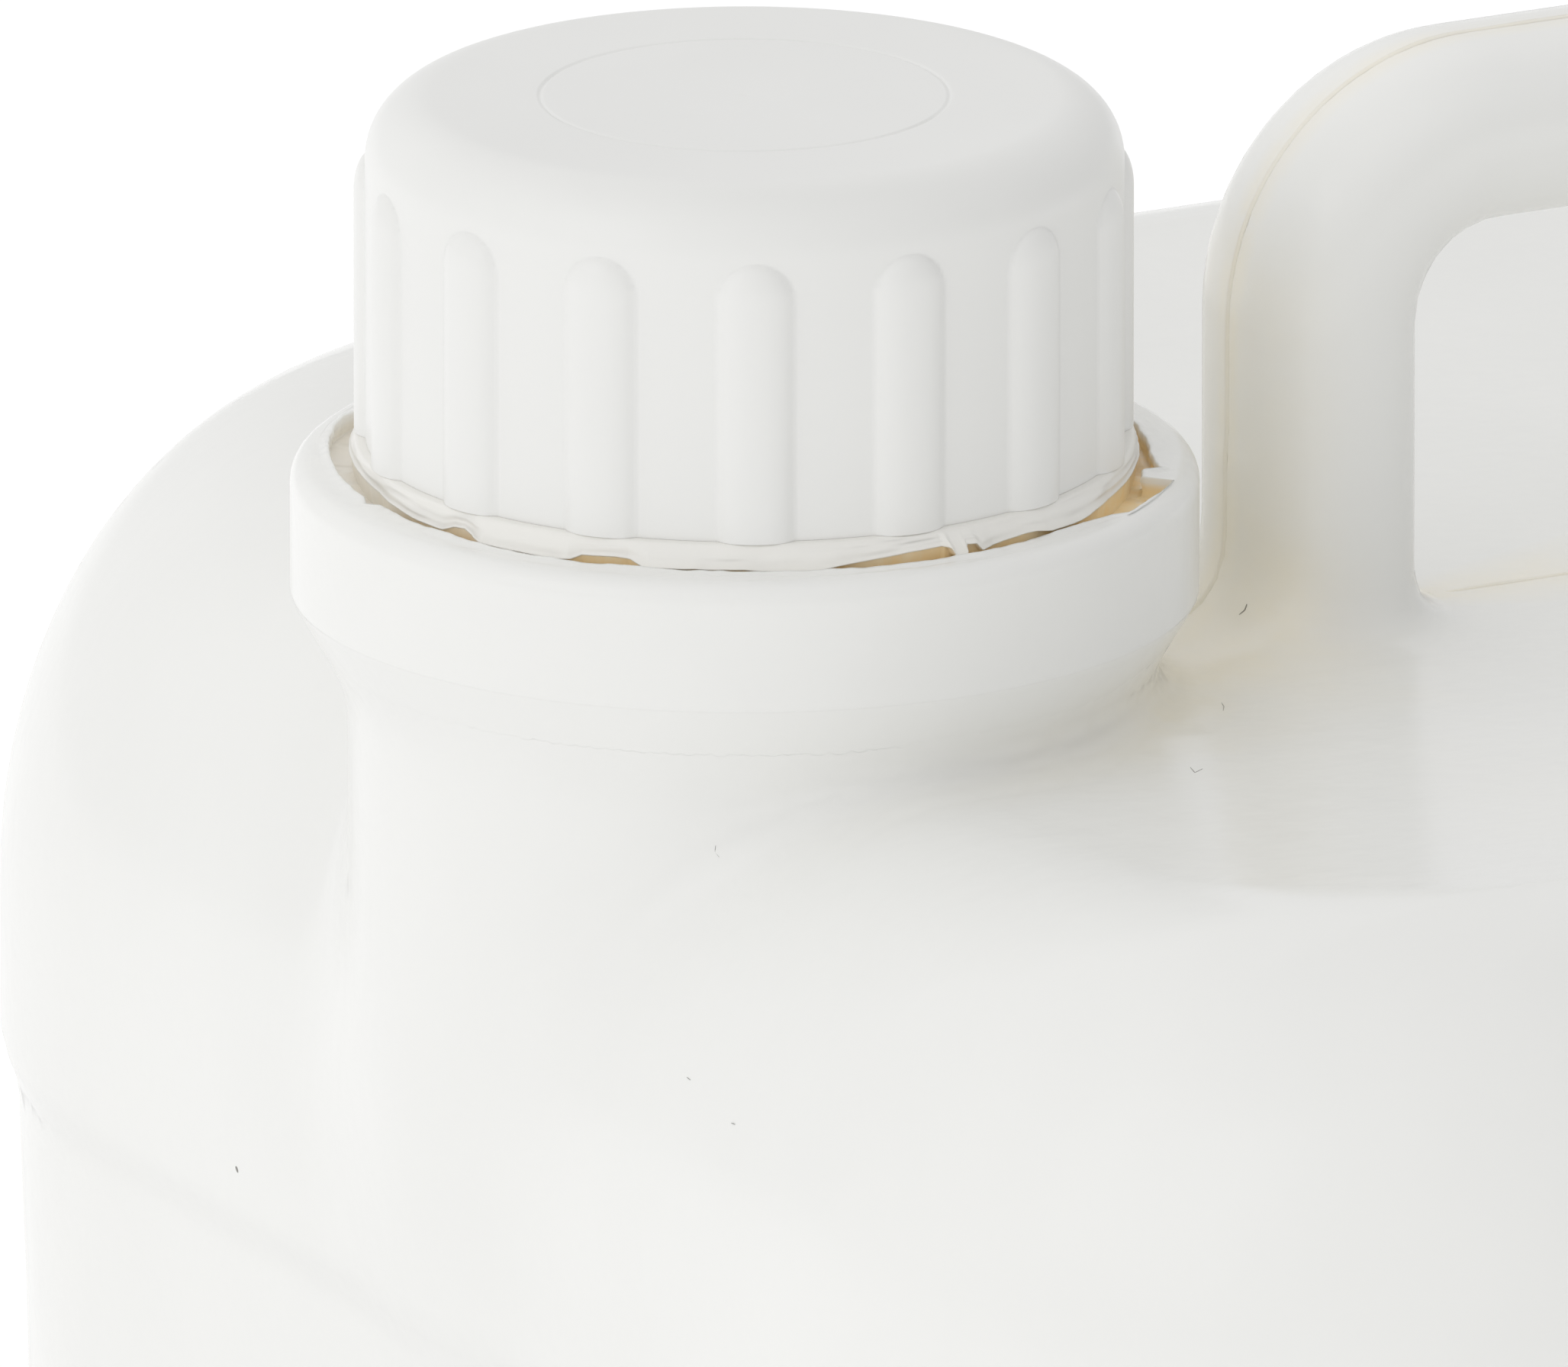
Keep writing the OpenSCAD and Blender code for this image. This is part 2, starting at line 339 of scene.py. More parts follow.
def neck_tube():
    n = 168
    th = np.linspace(0, 2 * math.pi, n, endpoint=False)
    o = np.ones(n)
    R, Z = [24.0 * o], [-12.5 * o]
    zs = np.concatenate([[-9.0, -1.2, -0.5, -0.2, 0.1, 0.5, 0.9, 1.4], np.linspace(1.9, 21.9, 62), [22.5, 23.1]])
    pitch, turns = 5.0, 3.2
    for z in zs:
        r = 24.25 * o
        r = r + 1.05 * np.exp(-((z - 0.0) / 0.42) ** 4)          # retaining bead
        # right-hand thread: rises as it turns
        t = (th / (2 * math.pi)) % 1.0
        ridge = np.zeros(n)
        for k in range(-1, 5):
            turn = t + k
            zc = 3.6 + pitch * turn
            fade = smooth(0.0, 0.08, turn) * smooth(turns, turns - 0.08, turn)
            ridge = np.maximum(ridge, fade * np.clip(1.28 - np.abs(z - zc) / 1.15, 0, 1))
        r = r + 1.05 * ridge
        R.append(r)
        Z.append(z * o)
    for k in range(0, 7):
        a = math.radians(k * 180 / 6)
        R.append((22.9 + 1.35 * math.cos(a)) * o)
        Z.append((23.2 + 0.9 * math.sin(a)) * o)
    for r, z in [(21.5, 22), (21.5, 5), (21.5, -9.2), (23.4, -11.0), (23.4, -12.5)]:
        R.append(r * o)
        Z.append(z * o)
    return revolve(np.array(R), np.array(Z), th)


# ---------------------------------------------------------------------------
# Parting line: a fine raised flash where the two mould halves met, Y = 0
# ---------------------------------------------------------------------------
def parting_path():
    pts = []
    # over the handle's outer edge, from the cove beside the neck to the far leg's foot
    for z in np.linspace(-19.5, H_Z - H_BEND, 40):
        pts.append((H_X1 - H_HU - 4 * smooth(-12, -19.5, z), z))
    for a in np.linspace(180, 90, 30)[1:]:
        a = math.radians(a)
        pts.append((H_X1 + H_BEND + (H_BEND + H_HU) * math.cos(a), H_Z - H_BEND + (H_BEND + H_HU) * math.sin(a)))
    for x in np.linspace(H_X1 + H_BEND, H_X2 - H_BEND, 70)[1:]:
        pts.append((x, H_Z + H_HU))
    for a in np.linspace(90, 0, 30)[1:]:
        a = math.radians(a)
        pts.append((H_X2 - H_BEND + (H_BEND + H_HU) * math.cos(a), H_Z - H_BEND + (H_BEND + H_HU) * math.sin(a)))
    for z in np.linspace(H_Z - H_BEND, -14, 30)[1:]:
        pts.append((H_X2 + H_HU, z))
    return np.array(pts)


def parting_far_end():
    """From the far leg's foot over the deck and shoulder and down the far wall to the base."""
    x_end = BODY_CX + BODY_HX
    pts = [(x, DECK) for x in np.linspace(H_X2 + H_HU + 3.5, x_end - SH_H, 14)]
    for a in np.radians(np.linspace(88, 0, 24)):
        pts.append((x_end - SH_H + SH_H * math.cos(a), SH_C + (DECK - SH_C) * math.sin(a)))
    pts += [(x_end, SH_C - 5), (x_end, SH_C - 9.5), (x_end - 0.7, SH_C - 13.5), (x_end - 1.4, SH_C - 17), (x_end - 1.95, SH_C - 36)]
    pts += [(x_end - 1.98, z) for z in np.linspace(SH_C - 40, BASE + 24, 40)]
    pts += [(x_end - 1.0, BASE + 20.5), (x_end, BASE + 16), (x_end, BASE + 12)]
    for a in np.radians(np.linspace(0, -88, 12)):
        pts.append((x_end - 10 + 10 * math.cos(a), BASE + 10 + 10 * math.sin(a)))
    return np.array(pts)


def strip(path, half, height, seed, fn=f_jug):
    """A thin ridge of triangular section on the surface, along path (x, z) at y = 0."""
    p = np.stack([path[:, 0], np.zeros(len(path)), path[:, 1]], 1)
    d = np.linalg.norm(np.diff(p, axis=0), axis=1)
    s = np.concatenate([[0], np.cumsum(d)])
    m = max(int(s[-1] / 0.8), 8)
    t = np.linspace(0, s[-1], m)
    p = np.stack([np.interp(t, s, p[:, k]) for k in range(3)], 1)
    p = project(fn, p, 8)
    p[:, 1] = 0
    g = grad(fn, p)
    g[:, 1] = 0
    g /= np.maximum(np.linalg.norm(g, axis=1, keepdims=True), 1e-9)
    rng = np.random.default_rng(seed)
    amp = np.convolve(rng.uniform(0.45, 1.2, m + 8), np.ones(5) / 5, "same")[4:4 + m]
    ends = smooth(0, 4, t) * smooth(s[-1], s[-1] - 4, t)
    h = height * amp * ends
    side = np.convolve(rng.uniform(-1, 1, m + 12), np.ones(9) / 9, "same")[6:6 + m] * 0.12
    y = np.array([0, 1.0, 0])
    rows = [p - g * 0.12 - y * half, p + g * (h * 0.35)[:, None] - y * (half * 0.42) + side[:, None] * y,
            p + g * h[:, None] + side[:, None] * y,
            p + g * (h * 0.35)[:, None] + y * (half * 0.42) + side[:, None] * y, p - g * 0.12 + y * half]
    k = len(rows)
    pts = np.concatenate([np.stack(rows, 1).reshape(-1, 3)])
    faces = []
    for i in range(m - 1):
        for j in range(k):
            a, b = i * k + j, i * k + (j + 1) % k
            faces.append((a, b, b + k, a + k))
    faces.append(tuple(range(k)))
    faces.append(tuple(range((m - 1) * k, m * k))[::-1])
    # outward winding
    c = pts[faces[1][0]], pts[faces[1][1]], pts[faces[1][2]]
    if np.dot(np.cross(c[1] - c[0], c[2] - c[0]), g[0]) < 0:
        faces = [f[::-1] for f in faces]
    return pts, faces, None


# ---------------------------------------------------------------------------
# Screw cap
# ---------------------------------------------------------------------------
def cap_mesh():
    ribs, per = 15, 46
    half = math.pi / ribs
    u = np.linspace(-1, 1, per, endpoint=False)
    u = np.sign(u) * np.abs(u) ** 1.25                      # closer together on the ribs
    th = np.concatenate([math.radians(243.7) + 2 * half * k + half * u for k in range(ribs)])
    th = th % (2 * math.pi)
    th = np.sort(th)
    n = len(th)
    o = np.ones(n)
    d = (th - math.radians(243.7) + half) % (2 * half) - half
    R, Z = [], []

    def side(z, r0=27.6):
        w = 27.9 * np.sin(d)
        h = max(z - 19.75, 0.0)
        q = np.minimum(np.sqrt(w * w + h * h) / 2.72, 1.0)
        return r0 + 0.9 * (1 - q ** 2.3) ** 0.72

    zs = np.concatenate([[1.7 + 0.015], np.linspace(2.4, 18.6, 12), np.linspace(19.0, 22.6, 30)])
    R.append(side(1.7) - 0.015); Z.append(1.7 * o)
    for z in zs:
        R.append(side(z)); Z.append(z * o)
    E = 4.8
    for a in np.radians(np.concatenate([np.linspace(0, 90, 19)[0:]])):
        R.append((27.6 - E + E * math.cos(a)) * o); Z.append((27.5 - E + E * math.sin(a)) * o)
    # nearly flat top, a touch dished, with a fine round witness line
    for r in [21.5, 19.5, 17.5, 15.6]:
        R.append(r * o); Z.append((27.5 - 0.05 * (1 - (r / 22.8) ** 2)) * o)
    line = 0.5 + 0.5 * wave(th, 21, 4, 60)
    for dr, dz in [(0.30, 0), (0.16, -0.02), (0.05, -0.11), (-0.05, -0.11), (-0.16, -0.02), (-0.30, 0)]:
        R.append((14.88 + dr) * o); Z.append(27.47 + dz * (0.55 + 0.75 * line))
    for r in [13.5, 11, 8, 5, 2.5, 0.8]:
        R.append(r * o); Z.append((27.5 - 0.05 * (1 - (r / 22.8) ** 2)) * o)
    R.append(0.02 * o); Z.append(27.45 * o)
    # inside: roof, seal seat, thread, skirt's lower edge
    for r, z in [(0.02, 25.52), (6, 25.52), (14, 25.52), (22, 25.52), (25.75, 25.52), (25.9, 25.3), (25.9, 23.6)]:
        R.append(r * o); Z.append(z * o)
    t = (th / (2 * math.pi)) % 1.0
    for z in np.linspace(22.8, 4.4, 40):
        ridge = np.zeros(n)
        for k in range(-1, 5):
            turn = t + k
            zc = 6.1 + 5.0 * turn
            fade = smooth(0.0, 0.08, turn) * smooth(2.9, 2.82, turn)
            ridge = np.maximum(ridge, fade * np.clip(1.2 - np.abs(z - zc) / 1.0, 0, 1))
        R.append(25.9 * o - 0.45 * ridge); Z.append(z * o)
    R.append(25.9 * o); Z.append(2.2 * o)
    R.append(26.1 * o); Z.append(1.7 * o)
    return revolve(np.array(R), np.array(Z), th)


# ---------------------------------------------------------------------------
# Torn tamper band
# ---------------------------------------------------------------------------
def band_outer(b):
    t = [(-180, 28.9), (-120, 28.8), (-104, 29.3), (-97, 29.0), (-86, 28.6), (-78, 28.4), (-70, 28.2), (-65, 28.5), (-62, 28.55),
         (-57, 28.75), (-50, 28.85), (-47, 28.6), (-43.5, 28.7), (-41, 29.3), (-26, 29.4), (-24, 29.0), (-17, 28.9),
         (-14, 29.5), (-8, 29.45), (2, 29.4), (11, 29.65), (15, 29.4), (22, 29.15), (29.5, 29.05),
         (30.4, 30.0), (32.7, 30.05), (33.1, 29.4), (34.8, 29.5), (35.6, 29.7), (38, 29.3), (44, 29.2),
         (48, 29.62), (58, 29.5), (62, 29.2), (66, 28.9), (72, 28.7), (84, 28.6), (100, 28.9), (140, 28.8), (180, 28.9)]
    return np.interp(b, [v[0] for v in t], [v[1] for v in t])


def band_lip(b):
    """Height of the torn lip by angle: lower where it meets the ring, higher over the gaps."""
    t = [(-180, -0.1), (-120, 0.0), (-100, 0.25), (-80, 0.30), (-64, 0.15), (-55, 0.05), (-49.5, 0.05), (-47.5, 0.42), (-45, 0.50),
         (-43, 0.05), (-40, -0.05), (-28, -0.05), (-25.5, 0.05), (-24, 0.38), (-19, 0.50), (-16.5, 0.42), (-14.5, 0.0),
         (-9, 0.06), (-7, 0.14), (0, 0.15), (2, 0.05), (11, 0.02), (13.5, 0.16), (18, 0.34), (24, 0.55), (30.2, 0.66),
         (30.8, 0.05), (32.6, 0.02), (33.1, 0.62), (34.8, 0.60), (35.6, 0.05), (37, 0.14), (40, 0.34), (46, 0.40), (49, 0.15),
         (56, 0.10), (60, 0.25), (80, 0.35), (100, 0.2), (140, 0.0), (180, -0.1)]
    return np.interp(b, [v[0] for v in t], [v[1] for v in t])


def band_mesh():
    n = 1440
    th = np.linspace(0, 2 * math.pi, n, endpoint=False)
    b = beta(th)
    o = np.ones(n)
    w1, w2, w3 = wave(th, 31, 5, 36), wave(th, 32, 18, 150), wave(th, 33, 3, 14)
    ro = band_outer(b) + 0.06 * w2
    ze = band_lip(b) + 0.07 * w1 + 0.05 * w2                 # height of the torn lip
    under = np.minimum(ro, 29.25 * o)                        # dried product under the lip, coloured amber with a painted glow of light through the plastic
    rows = [
        (27.7 * o, -7.9 * o), (28.4 * o, -7.9 * o), (28.4 * o, -3.0 * o), (under - 0.42, -1.9 * o),
        (under - 0.26 + 0.04 * w2, -0.7 * o), (under - 0.20 + 0.03 * w2, np.minimum(ze - 0.22, -0.1)),
        (under - 0.15, ze - 0.10), (np.maximum(under - 0.10, ro - 0.12), ze - 0.05), (ro, ze), (ro - 0.03, ze + 0.08), (ro - 0.14, ze + 0.16)]
    # amber on the wall under the torn lip: dried product with a painted glow of light through the plastic, less amber
    # on the left
    pale = 1 - 0.35 * smooth(-36, -44, b) - 0.45 * smooth(-54, -64, b) * smooth(-150, -110, b)
    amber = np.array([1, 1, 1, 1, 1, 1, 0.9, 0.4] + [0.0] * 17)[:, None] * pale[None]
    # lumpy flank from the torn lip up to the skirt, out of several uneven courses
    top = 1.693 * o
    for k, t in enumerate((0.14, 0.28, 0.42, 0.56, 0.70, 0.83, 0.93)):
        lump = wave(th, 80 + k, 5, 44)
        r = (ro - 0.16) * (1 - t) + 28.32 * t + 0.20 * math.sin(math.pi * t) * (0.55 + lump)
        z = (ze + 0.16) * (1 - t) + (top - 0.03) * t + 0.10 * math.sin(math.pi * t) * wave(th, 90 + k // 2, 4, 30)
        rows.append((r, z))
    rows += [(28.25 * o, top - 0.008), (28.1 * o, top), (26.6 * o, top), (26.35 * o, top - 0.05),
             (26.35 * o, top - 0.3), (27.6 * o, 0.6 * o), (27.7 * o, -3.0 * o)]
    assert len(rows) == len(amber)
    pts, faces = revolve(np.array([r for r, _ in rows]), np.array([z for _, z in rows]), th)
    return pts, faces, amber.reshape(-1)


# ---------------------------------------------------------------------------
# Materials
# ---------------------------------------------------------------------------
class Nodes:
    def __init__(self, name):
        self.mat = bpy.data.materials.new(name)
        self.mat.use_nodes = True
        self.nt = self.mat.node_tree
        self.nt.nodes.clear()
        self.out = self.nt.nodes.new("ShaderNodeOutputMaterial")
        self.bsdf = self.nt.nodes.new("ShaderNodeBsdfPrincipled")
        self.link(self.bsdf.outputs[0], self.out.inputs["Surface"])

    def link(self, a, b):
        self.nt.links.new(a, b)

    def coords(self):
        if not hasattr(self, "_tc"):
            self._tc = self.nt.nodes.new("ShaderNodeTexCoord")
        return self._tc.outputs["Object"]

    def noise(self, scale, detail=3.0, rough=0.5, stretch=None):
        n = self.nt.nodes.new("ShaderNodeTexNoise")
        n.inputs["Scale"].default_value = scale
        n.inputs["Detail"].default_value = detail
        n.inputs["Roughness"].default_value = rough
        if stretch:
            m = self.nt.nodes.new("ShaderNodeMapping")
            m.inputs["Scale"].default_value = stretch
            self.link(self.coords(), m.inputs["Vector"])
            self.link(m.outputs[0], n.inputs["Vector"])
        else:
            self.link(self.coords(), n.inputs["Vector"])
        return n.outputs["Fac"]

    def math(self, op, a, b=None, clamp=False):
        n = self.nt.nodes.new("ShaderNodeMath")
        n.operation = op
        n.use_clamp = clamp
        for i, v in enumerate((a, b)):
            if v is None:
                continue
            if isinstance(v, (int, float)):
                n.inputs[i].default_value = v
            else:
                self.link(v, n.inputs[i])
        return n.outputs[0]

    def ramp(self, v, lo, hi, a=0.0, b=1.0, smooth_=True):
        n = self.nt.nodes.new("ShaderNodeMapRange")
        n.interpolation_type = "SMOOTHSTEP" if smooth_ else "LINEAR"
        n.inputs["From Min"].default_value = lo
        n.inputs["From Max"].default_value = hi
        n.inputs["To Min"].default_value = a
        n.inputs["To Max"].default_value = b
        self.link(v, n.inputs["Value"])
        return n.outputs[0]

    def mix(self, fac, a, b):
        n = self.nt.nodes.new("ShaderNodeMix")
        n.data_type = "RGBA"
        if isinstance(fac, (int, float)):
            n.inputs["Factor"].default_value = fac
        else:
            self.link(fac, n.inputs["Factor"])
        for key, v in (("A", a), ("B", b)):
            sock = [s for s in n.inputs if s.name == key and s.type == "RGBA"][0]
            if isinstance(v, tuple):
                sock.default_value = v + (1,) if len(v) == 3 else v
            else:
                self.link(v, sock)
        return [s for s in n.outputs if s.type == "RGBA"][0]

    def attr(self, name):
        n = self.nt.nodes.new("ShaderNodeAttribute")
        n.attribute_name = name
        return n.outputs["Fac"]

    def bump(self, height, strength, distance):
        n = self.nt.nodes.new("ShaderNodeBump")
        n.inputs["Strength"].default_value = strength
        n.inputs["Distance"].default_value = distance
        self.link(height, n.inputs["Height"])
        if hasattr(self, "_bump"):
            self.link(self._bump, n.inputs["Normal"])
        self._bump = n.outputs[0]
        self.link(self._bump, self.bsdf.inputs["Normal"])

    def add(self, a, b):
        return self.math("ADD", a, b)

    def mul(self, a, b):
        return self.math("MULTIPLY", a, b)


def plastic(name, white, yellowing_and_shade_colour, rough, tint_attr, grain=1.0, sss=0.0):
    m = Nodes(name)
    cloud = m.noise(38, 3, 0.55)
    col = m.mix(m.ramp(cloud, 0.3, 0.7, 0.0, 1.0), white, tuple(c * 0.985 for c in white))
    if tint_attr:
        # the warm colour is real yellowing along the parting line and on the band's lip, and painted warm shade in the
        # jug's crevices and on the leg's side that the cap shades
        t = m.attr("yellowing_and_shade")
        patch = m.ramp(m.noise(160, 4, 0.6), 0.25, 0.75, 0.72, 1.18)
        col = m.mix(m.math("MULTIPLY", t, patch, clamp=True), col, yellowing_and_shade_colour)
        # the amber is dried product in the neck groove and under the band's lip, with a painted glow of light through
        # the plastic that keeps it bright in the shade there
        g = m.attr("groove")
        amber_residue_and_glow = m.mix(m.ramp(m.noise(420, 3, 0.6), 0.35, 0.65), (0.975, 0.765, 0.44), (0.98, 0.83, 0.56))
        col = m.mix(g, col, amber_residue_and_glow)
        col = m.mix(m.mul(m.attr("grit"), 0.8), col, (0.16, 0.15, 0.13))
    m.link(col, m.bsdf.inputs["Base Color"])
    r = m.ramp(m.noise(70, 3, 0.6), 0.3, 0.7, rough - 0.025, rough + 0.03)
    m.link(r, m.bsdf.inputs["Roughness"])
    m.bsdf.inputs["IOR"].default_value = 1.5
    m.bump(m.noise(260, 2, 0.5), 0.10 * grain, 0.0004)
    return m.mat


# ---------------------------------------------------------------------------
# Where the camera stands
# ---------------------------------------------------------------------------
AZ, EL, DIST = math.radians(-28), math.radians(16.46), 4.2
MM = 0.0555                                   # mm a pixel of the 2055 x 1792 view, at the neck
back = Vector((math.sin(AZ) * math.cos(EL), -math.cos(AZ) * math.cos(EL), math.sin(EL)))
right = Vector((math.cos(AZ), math.sin(AZ), 0))
up = back.cross(right)
neck = Vector((NECK_X / 1000, 0, RIM_Z / 1000))
look = neck + right * ((1027.5 - 976) * MM / 1000) - up * ((896 - 600) * MM / 1000)
cam_place = look + back * DIST

# ---------------------------------------------------------------------------
# Pieces
# ---------------------------------------------------------------------------
def yellowing_and_shade_jug(p):
    """Where the jug gets the warm colour: real yellowing along the parting line, and painted warm shade on the first
    leg's outer side where the cap shades it, in the foot beside the neck, in the corner under the collar and along the
    crease on the deck under the handle."""
    x, y, z = p.T
    # leg, foot, corner and slot are painted warm shade in the creases and shaded faces; line is the parting line's real
    # yellowing
    leg = smooth(47, 39.5, x) * smooth(34, 38, x) * smooth(-22, -14, z) * smooth(16, 6, z)
    line = np.exp(-(y / 1.2) ** 2) * smooth(36, 39, x) * smooth(-21, -17, z)
    foot = np.exp(-(((x - 36) / 9) ** 2 + ((y + 7) / 8) ** 2 + ((z + 17) / 6) ** 2))
    corner = np.exp(-((np.hypot(x, y) - 30.5) / 5) ** 2 - ((z + 17.5) / 4.5) ** 2)
    th = np.degrees(np.arctan2(y, x))
    corner = corner * np.exp(-((th + 35) / 38) ** 2)
    slot = np.exp(-(y / 2.2) ** 2) * np.exp(-((z + 18.2) / 1.2) ** 2) * smooth(52, 56, x) * smooth(152, 148, x)
    return np.clip(0.42 * leg + 0.80 * line + 0.85 * foot + 0.85 * corner + 0.85 * slot, 0, 1)


def at_pixel(px, py):
    """The point of the jug's surface that shows at that place of the 2055 x 1792 view."""
    o = (np.array(cam_place) - np.array([NECK_X / 1000, 0, RIM_Z / 1000])) * 1000
    rt, uu, bb = (np.array(v) for v in (right, up, back))
    target = rt * ((px - 976) * MM) + uu * ((600 - py) * MM)
    d = target - o
    d /= np.linalg.norm(d)
    q = o + d * (DIST * 1000 - 260)
    for _ in range(400):
        v = float(f_jug(q[0:1], q[1:2], q[2:3])[0])
        if v < 0.005:
            break
        q = q + d * min(v * 0.6, 4.0)
    return q


def speck(points, half, height):
    """A sliver of grit or moulding dirt lying on the surface, along those pixels of the view."""
    p = np.array([at_pixel(*v) for v in points])
    s = np.concatenate([[0], np.cumsum(np.linalg.norm(np.diff(p, axis=0), axis=1))])
    t = np.linspace(0, s[-1], max(6, int(s[-1] / 0.12)))
    p = np.stack([np.interp(t, s, p[:, k]) for k in range(3)], 1)
    p = project(f_jug, p, 6)
    g = grad(f_jug, p)
    g /= np.maximum(np.linalg.norm(g, axis=1, keepdims=True), 1e-9)
    along = np.gradient(p, axis=0)
    along /= np.maximum(np.linalg.norm(along, axis=1, keepdims=True), 1e-9)
    side = np.cross(g, along)
    w = (half * np.sqrt(np.clip(1 - (2 * t / t[-1] - 1) ** 2, 0.03, 1)))[:, None]
    rows = [p - g * 0.04 - side * w, p + g * height * 0.7 - side * w * 0.6, p + g * height,
            p + g * height * 0.7 + side * w * 0.6, p - g * 0.04 + side * w]
    k, m = len(rows), len(p)
    pts = np.stack(rows, 1).reshape(-1, 3)
    faces = []
    for i in range(m - 1):
        for j in range(k):
            a, b = i * k + j, i * k + (j + 1) % k
            faces.append((a, a + k, b + k, b))
    faces.append(tuple(range(k)))
    faces.append(tuple(range((m - 1) * k, m * k))[::-1])
    c = pts[faces[1][0]], pts[faces[1][1]], pts[faces[1][2]]
    if np.dot(np.cross(c[1] - c[0], c[2] - c[0]), g[0]) < 0:
        faces = [f[::-1] for f in faces]
    return pts, faces, None


def groove_jug(p):
    # amber in the groove between the ring and the tube: dried product with a painted glow of light through the plastic
    x, y, z = p.T
    r = np.hypot(x, y)
    inside = smooth(31.9, 31.2, r) * smooth(23.0, 24.0, r)
    b = beta(np.arctan2(y, x))
    pale = 1 - 0.80 * smooth(-60, -70, b) * smooth(-150, -110, b)
    return inside * smooth(-0.30, -0.95, z) * smooth(-9, -8, z) * pale


vox = 1.6
lo = (-35.2, -112.0, -260.0)
hi = (213.6, 112.0, 27.0)
body_pts, body_faces, body_n = implicit_mesh(f_jug, lo, hi, vox, 0.005)
ring_pts, ring_faces = neck_ring()
tube_pts, tube_faces = neck_tube()
deck_line = np.stack([np.linspace(H_X1 + H_HU + 3, H_X2 - H_HU - 3, 60), np.full(60, DECK)], 1)
specks = [
    speck([(1634, 792), (1631, 800), (1624, 806)], 0.055, 0.05),
    speck([(1560, 1006), (1566, 1013), (1576, 1008)], 0.045, 0.04),
    speck([(1600, 920), (1604, 926), (1603, 932)], 0.04, 0.04),
    speck([(938, 1108), (937, 1117), (943, 1124)], 0.04, 0.04),
    speck([(309, 1529), (312, 1537)], 0.20, 0.05),
    speck([(900, 1412), (905, 1416)], 0.04, 0.03),
    speck([(958, 1472), (963, 1474)], 0.03, 0.03),
]
jug = build("jug_blown_body", [
    (body_pts, body_faces, body_n),
    (ring_pts, ring_faces, None),
    (tube_pts, tube_faces, None),
    strip(parting_path(), 0.42, 0.20, 41),
    strip(deck_line, 0.42, 0.16, 42),
    strip(parting_far_end(), 0.40, 0.13, 44),
] + specks, {"yellowing_and_shade": yellowing_and_shade_jug, "groove": groove_jug, "grit": lambda p: (np.arange(len(p)) >= len(p) - sum(len(q[0]) for q in specks)) * 1.0})
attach(jug, "jug")
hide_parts("jug_body")

cap_pts, cap_faces = cap_mesh()
cap = build("ribbed_screw_cap", [(cap_pts, cap_faces, None)])
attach(cap, "cap")
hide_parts("screw_cap")

band_pts, band_faces, band_amber = band_mesh()
band = build("torn_tamper_band", [(band_pts, band_faces, None)], {
    "yellowing_and_shade": lambda p: np.clip(0.05 + 0.12 * smooth(28.9, 29.8, np.hypot(p[:, 0], p[:, 1])), 0, 1),
    "groove": lambda p: band_amber})
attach(band, "jug")
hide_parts("tamper_band")

jug.data.materials.append(plastic("jug_hdpe", (0.925, 0.925, 0.903), (0.955, 0.91, 0.79), 0.215, True))
cap.data.materials.append(plastic("cap_pp", (0.905, 0.905, 0.885), (0.8, 0.74, 0.6), 0.30, False, 0.7))
band.data.materials.append(plastic("band_torn", (0.93, 0.92, 0.885), (0.93, 0.875, 0.72), 0.38, True, 1.6))
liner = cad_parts["cap_liner"]
liner.data.materials.clear()
liner.data.materials.append(plastic("liner_wad", (0.80, 0.80, 0.77), (0.8, 0.74, 0.6), 0.55, False, 1.5))

# ---------------------------------------------------------------------------
# Floor, light, camera
# ---------------------------------------------------------------------------
bpy.ops.mesh.primitive_plane_add(size=14, location=(0, 0, 0))
floor = bpy.context.object
floor.name = "studio_floor"
fm = Nodes("floor_pale")
fm.link(fm.mix(fm.ramp(fm.noise(3, 2), 0.3, 0.7), (0.93, 0.93, 0.93), (0.95, 0.95, 0.95)), fm.bsdf.inputs["Base Color"])
fm.bsdf.inputs["Roughness"].default_value = 0.9
fm.bsdf.inputs["Emission Color"].default_value = (1, 1, 1, 1)
far = fm.nt.nodes.new("ShaderNodeVectorMath")
far.operation = "LENGTH"
fm.link(fm.coords(), far.inputs[0])
fm.link(fm.ramp(far.outputs["Value"], 0.32, 0.70, 0.10, 0.29), fm.bsdf.inputs["Emission Strength"])
floor.data.materials.append(fm.mat)

world = bpy.data.worlds.new("studio")
bpy.context.scene.world = world
world.use_nodes = True
bg = world.node_tree.nodes["Background"]
bg.inputs["Color"].default_value = (1, 1, 1, 1)
# a soft dome, brighter on the left and behind, as round a white sweep
wn = world.node_tree.nodes
wl = world.node_tree.links
tc = wn.new("ShaderNodeTexCoord")


def toward(vec, lo, hi, a, b):
    d = wn.new("ShaderNodeVectorMath")
    d.operation = "DOT_PRODUCT"
    wl.new(tc.outputs["Generated"], d.inputs[0])
    d.inputs[1].default_value = vec
    m = wn.new("ShaderNodeMapRange")
    m.interpolation_type = "SMOOTHSTEP"
    for k, v in zip(("From Min", "From Max", "To Min", "To Max"), (lo, hi, a, b)):
        m.inputs[k].default_value = v
    wl.new(d.outputs["Value"], m.inputs["Value"])
    return m.outputs[0]


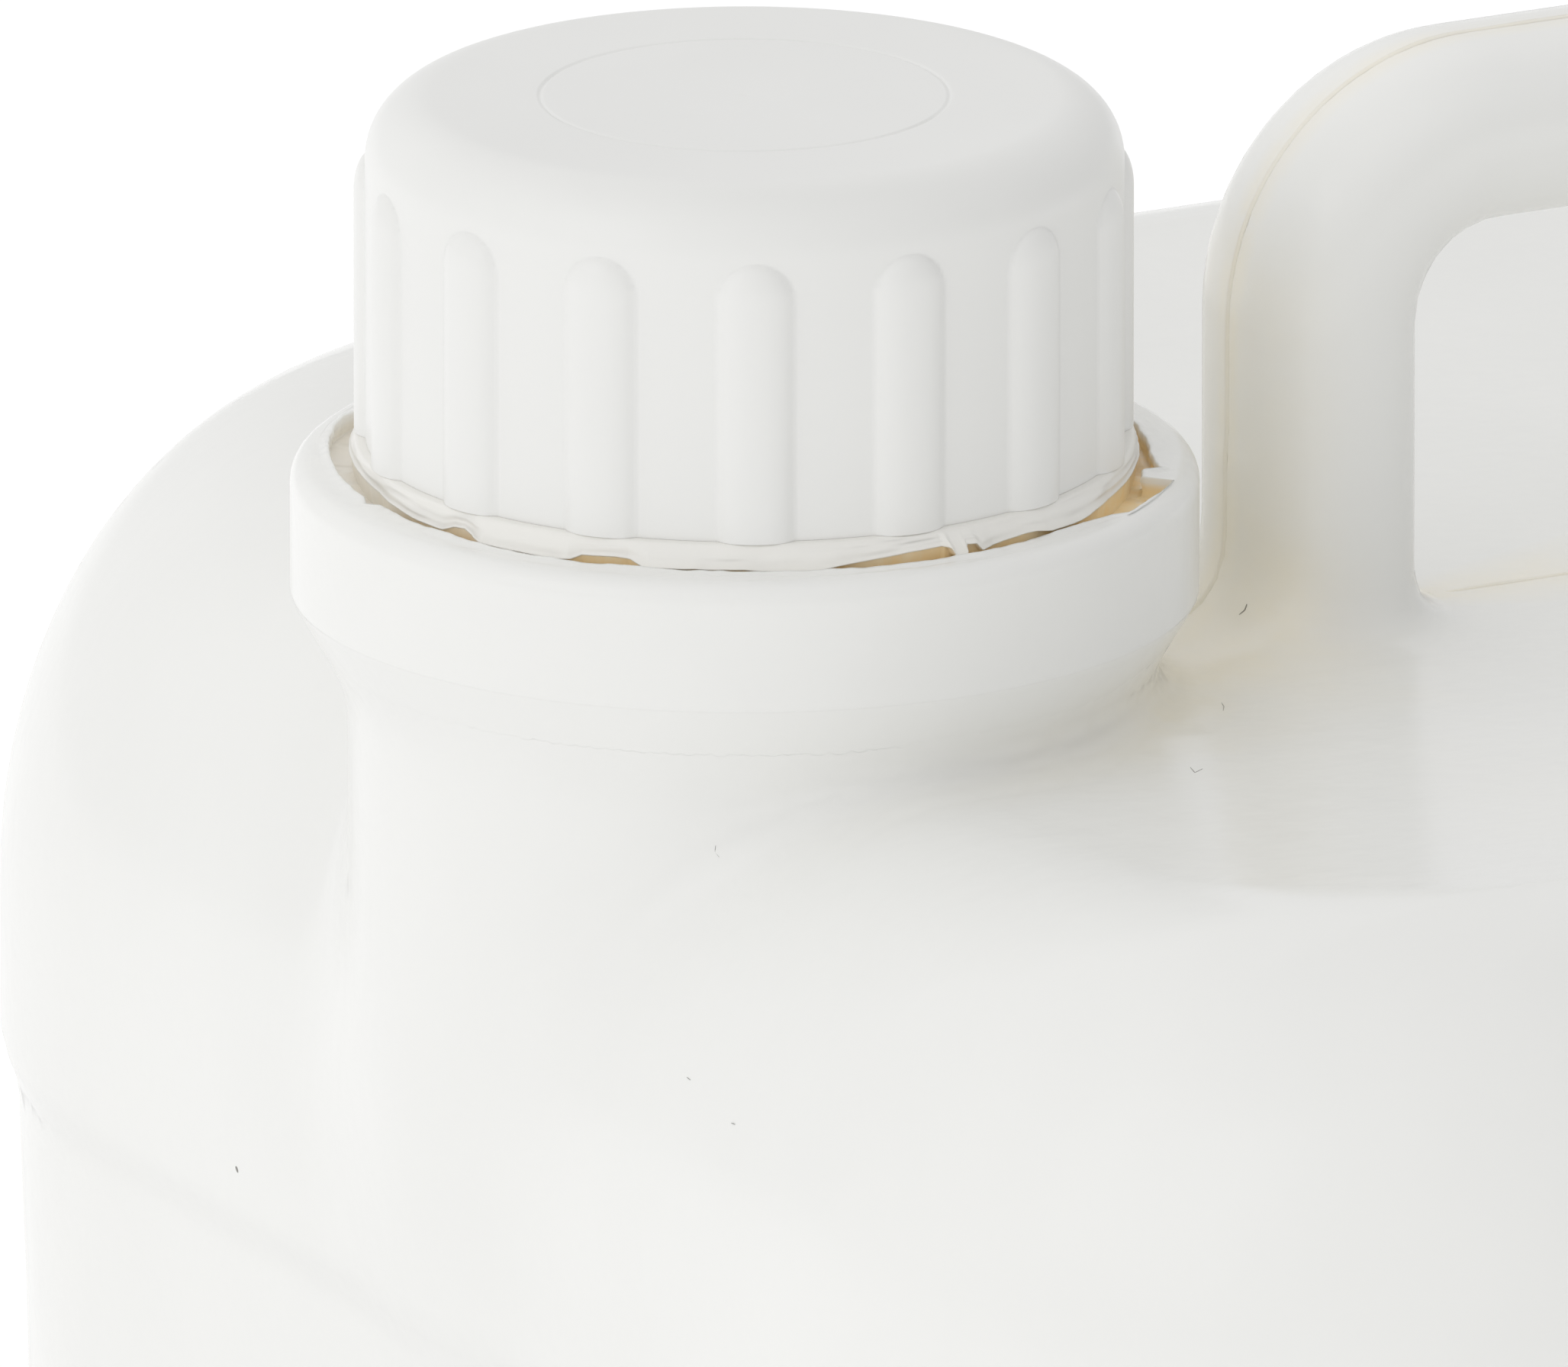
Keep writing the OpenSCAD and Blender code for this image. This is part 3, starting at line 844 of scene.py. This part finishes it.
total = wn.new("ShaderNodeMath")
total.operation = "ADD"
wl.new(toward((-0.985, -0.12, 0.12), -1.0, 1.0, 0.435, 0.83), total.inputs[0])
wl.new(toward((0.46, 0.86, 0.22), 0.35, 0.95, 0.0, 0.28), total.inputs[1])
above = wn.new("ShaderNodeMath")
above.operation = "ADD"
wl.new(total.outputs[0], above.inputs[0])
wl.new(toward((0, 0, 1), 0.1, 1.0, 0.0, 0.18), above.inputs[1])
front = wn.new("ShaderNodeMath")
front.operation = "SUBTRACT"
wl.new(above.outputs[0], front.inputs[0])
wl.new(toward((0.30, -0.95, 0), -0.1, 1.0, 0.0, 0.06), front.inputs[1])
wl.new(front.outputs[0], bg.inputs["Strength"])


def area(name, az, el, dist, size, power, aim=(-0.06, 0, 0.2), colour=(1, 1, 1)):
    """A soft square light at that direction from the aim point; az 0 is in front, -90 on the left."""
    a, e = math.radians(az), math.radians(el)
    back = Vector((math.sin(a) * math.cos(e), -math.cos(a) * math.cos(e), math.sin(e)))
    data = bpy.data.lights.new(name, "AREA")
    data.shape = "SQUARE"
    data.size = size
    data.energy = power
    data.color = colour
    ob = bpy.data.objects.new(name, data)
    ob.location = Vector(aim) + back * dist
    ob.rotation_euler = back.to_track_quat("Z", "Y").to_euler()
    bpy.context.scene.collection.objects.link(ob)
    return ob


area("key_left", -78, 30, 2.4, 1.5, 2.2)

cam_data = bpy.data.cameras.new("camera")
cam_data.sensor_width = 36
cam_data.lens = 36 * DIST / (2055 * MM / 1000)
cam_data.clip_start = 0.05
cam_data.clip_end = 50
cam = bpy.data.objects.new("camera", cam_data)
cam.location = cam_place
m = Matrix((right, up, back)).transposed()
cam.rotation_euler = m.to_euler()
bpy.context.scene.collection.objects.link(cam)
bpy.context.scene.camera = cam

vs = bpy.context.scene.view_settings
vs.view_transform = "Standard"
vs.look = "None"
vs.exposure = 0.0
vs.gamma = 1.0

for ob in (jug, cap, band):
    print(ob.name, "triangles", sum(len(p.vertices) - 2 for p in ob.data.polygons))
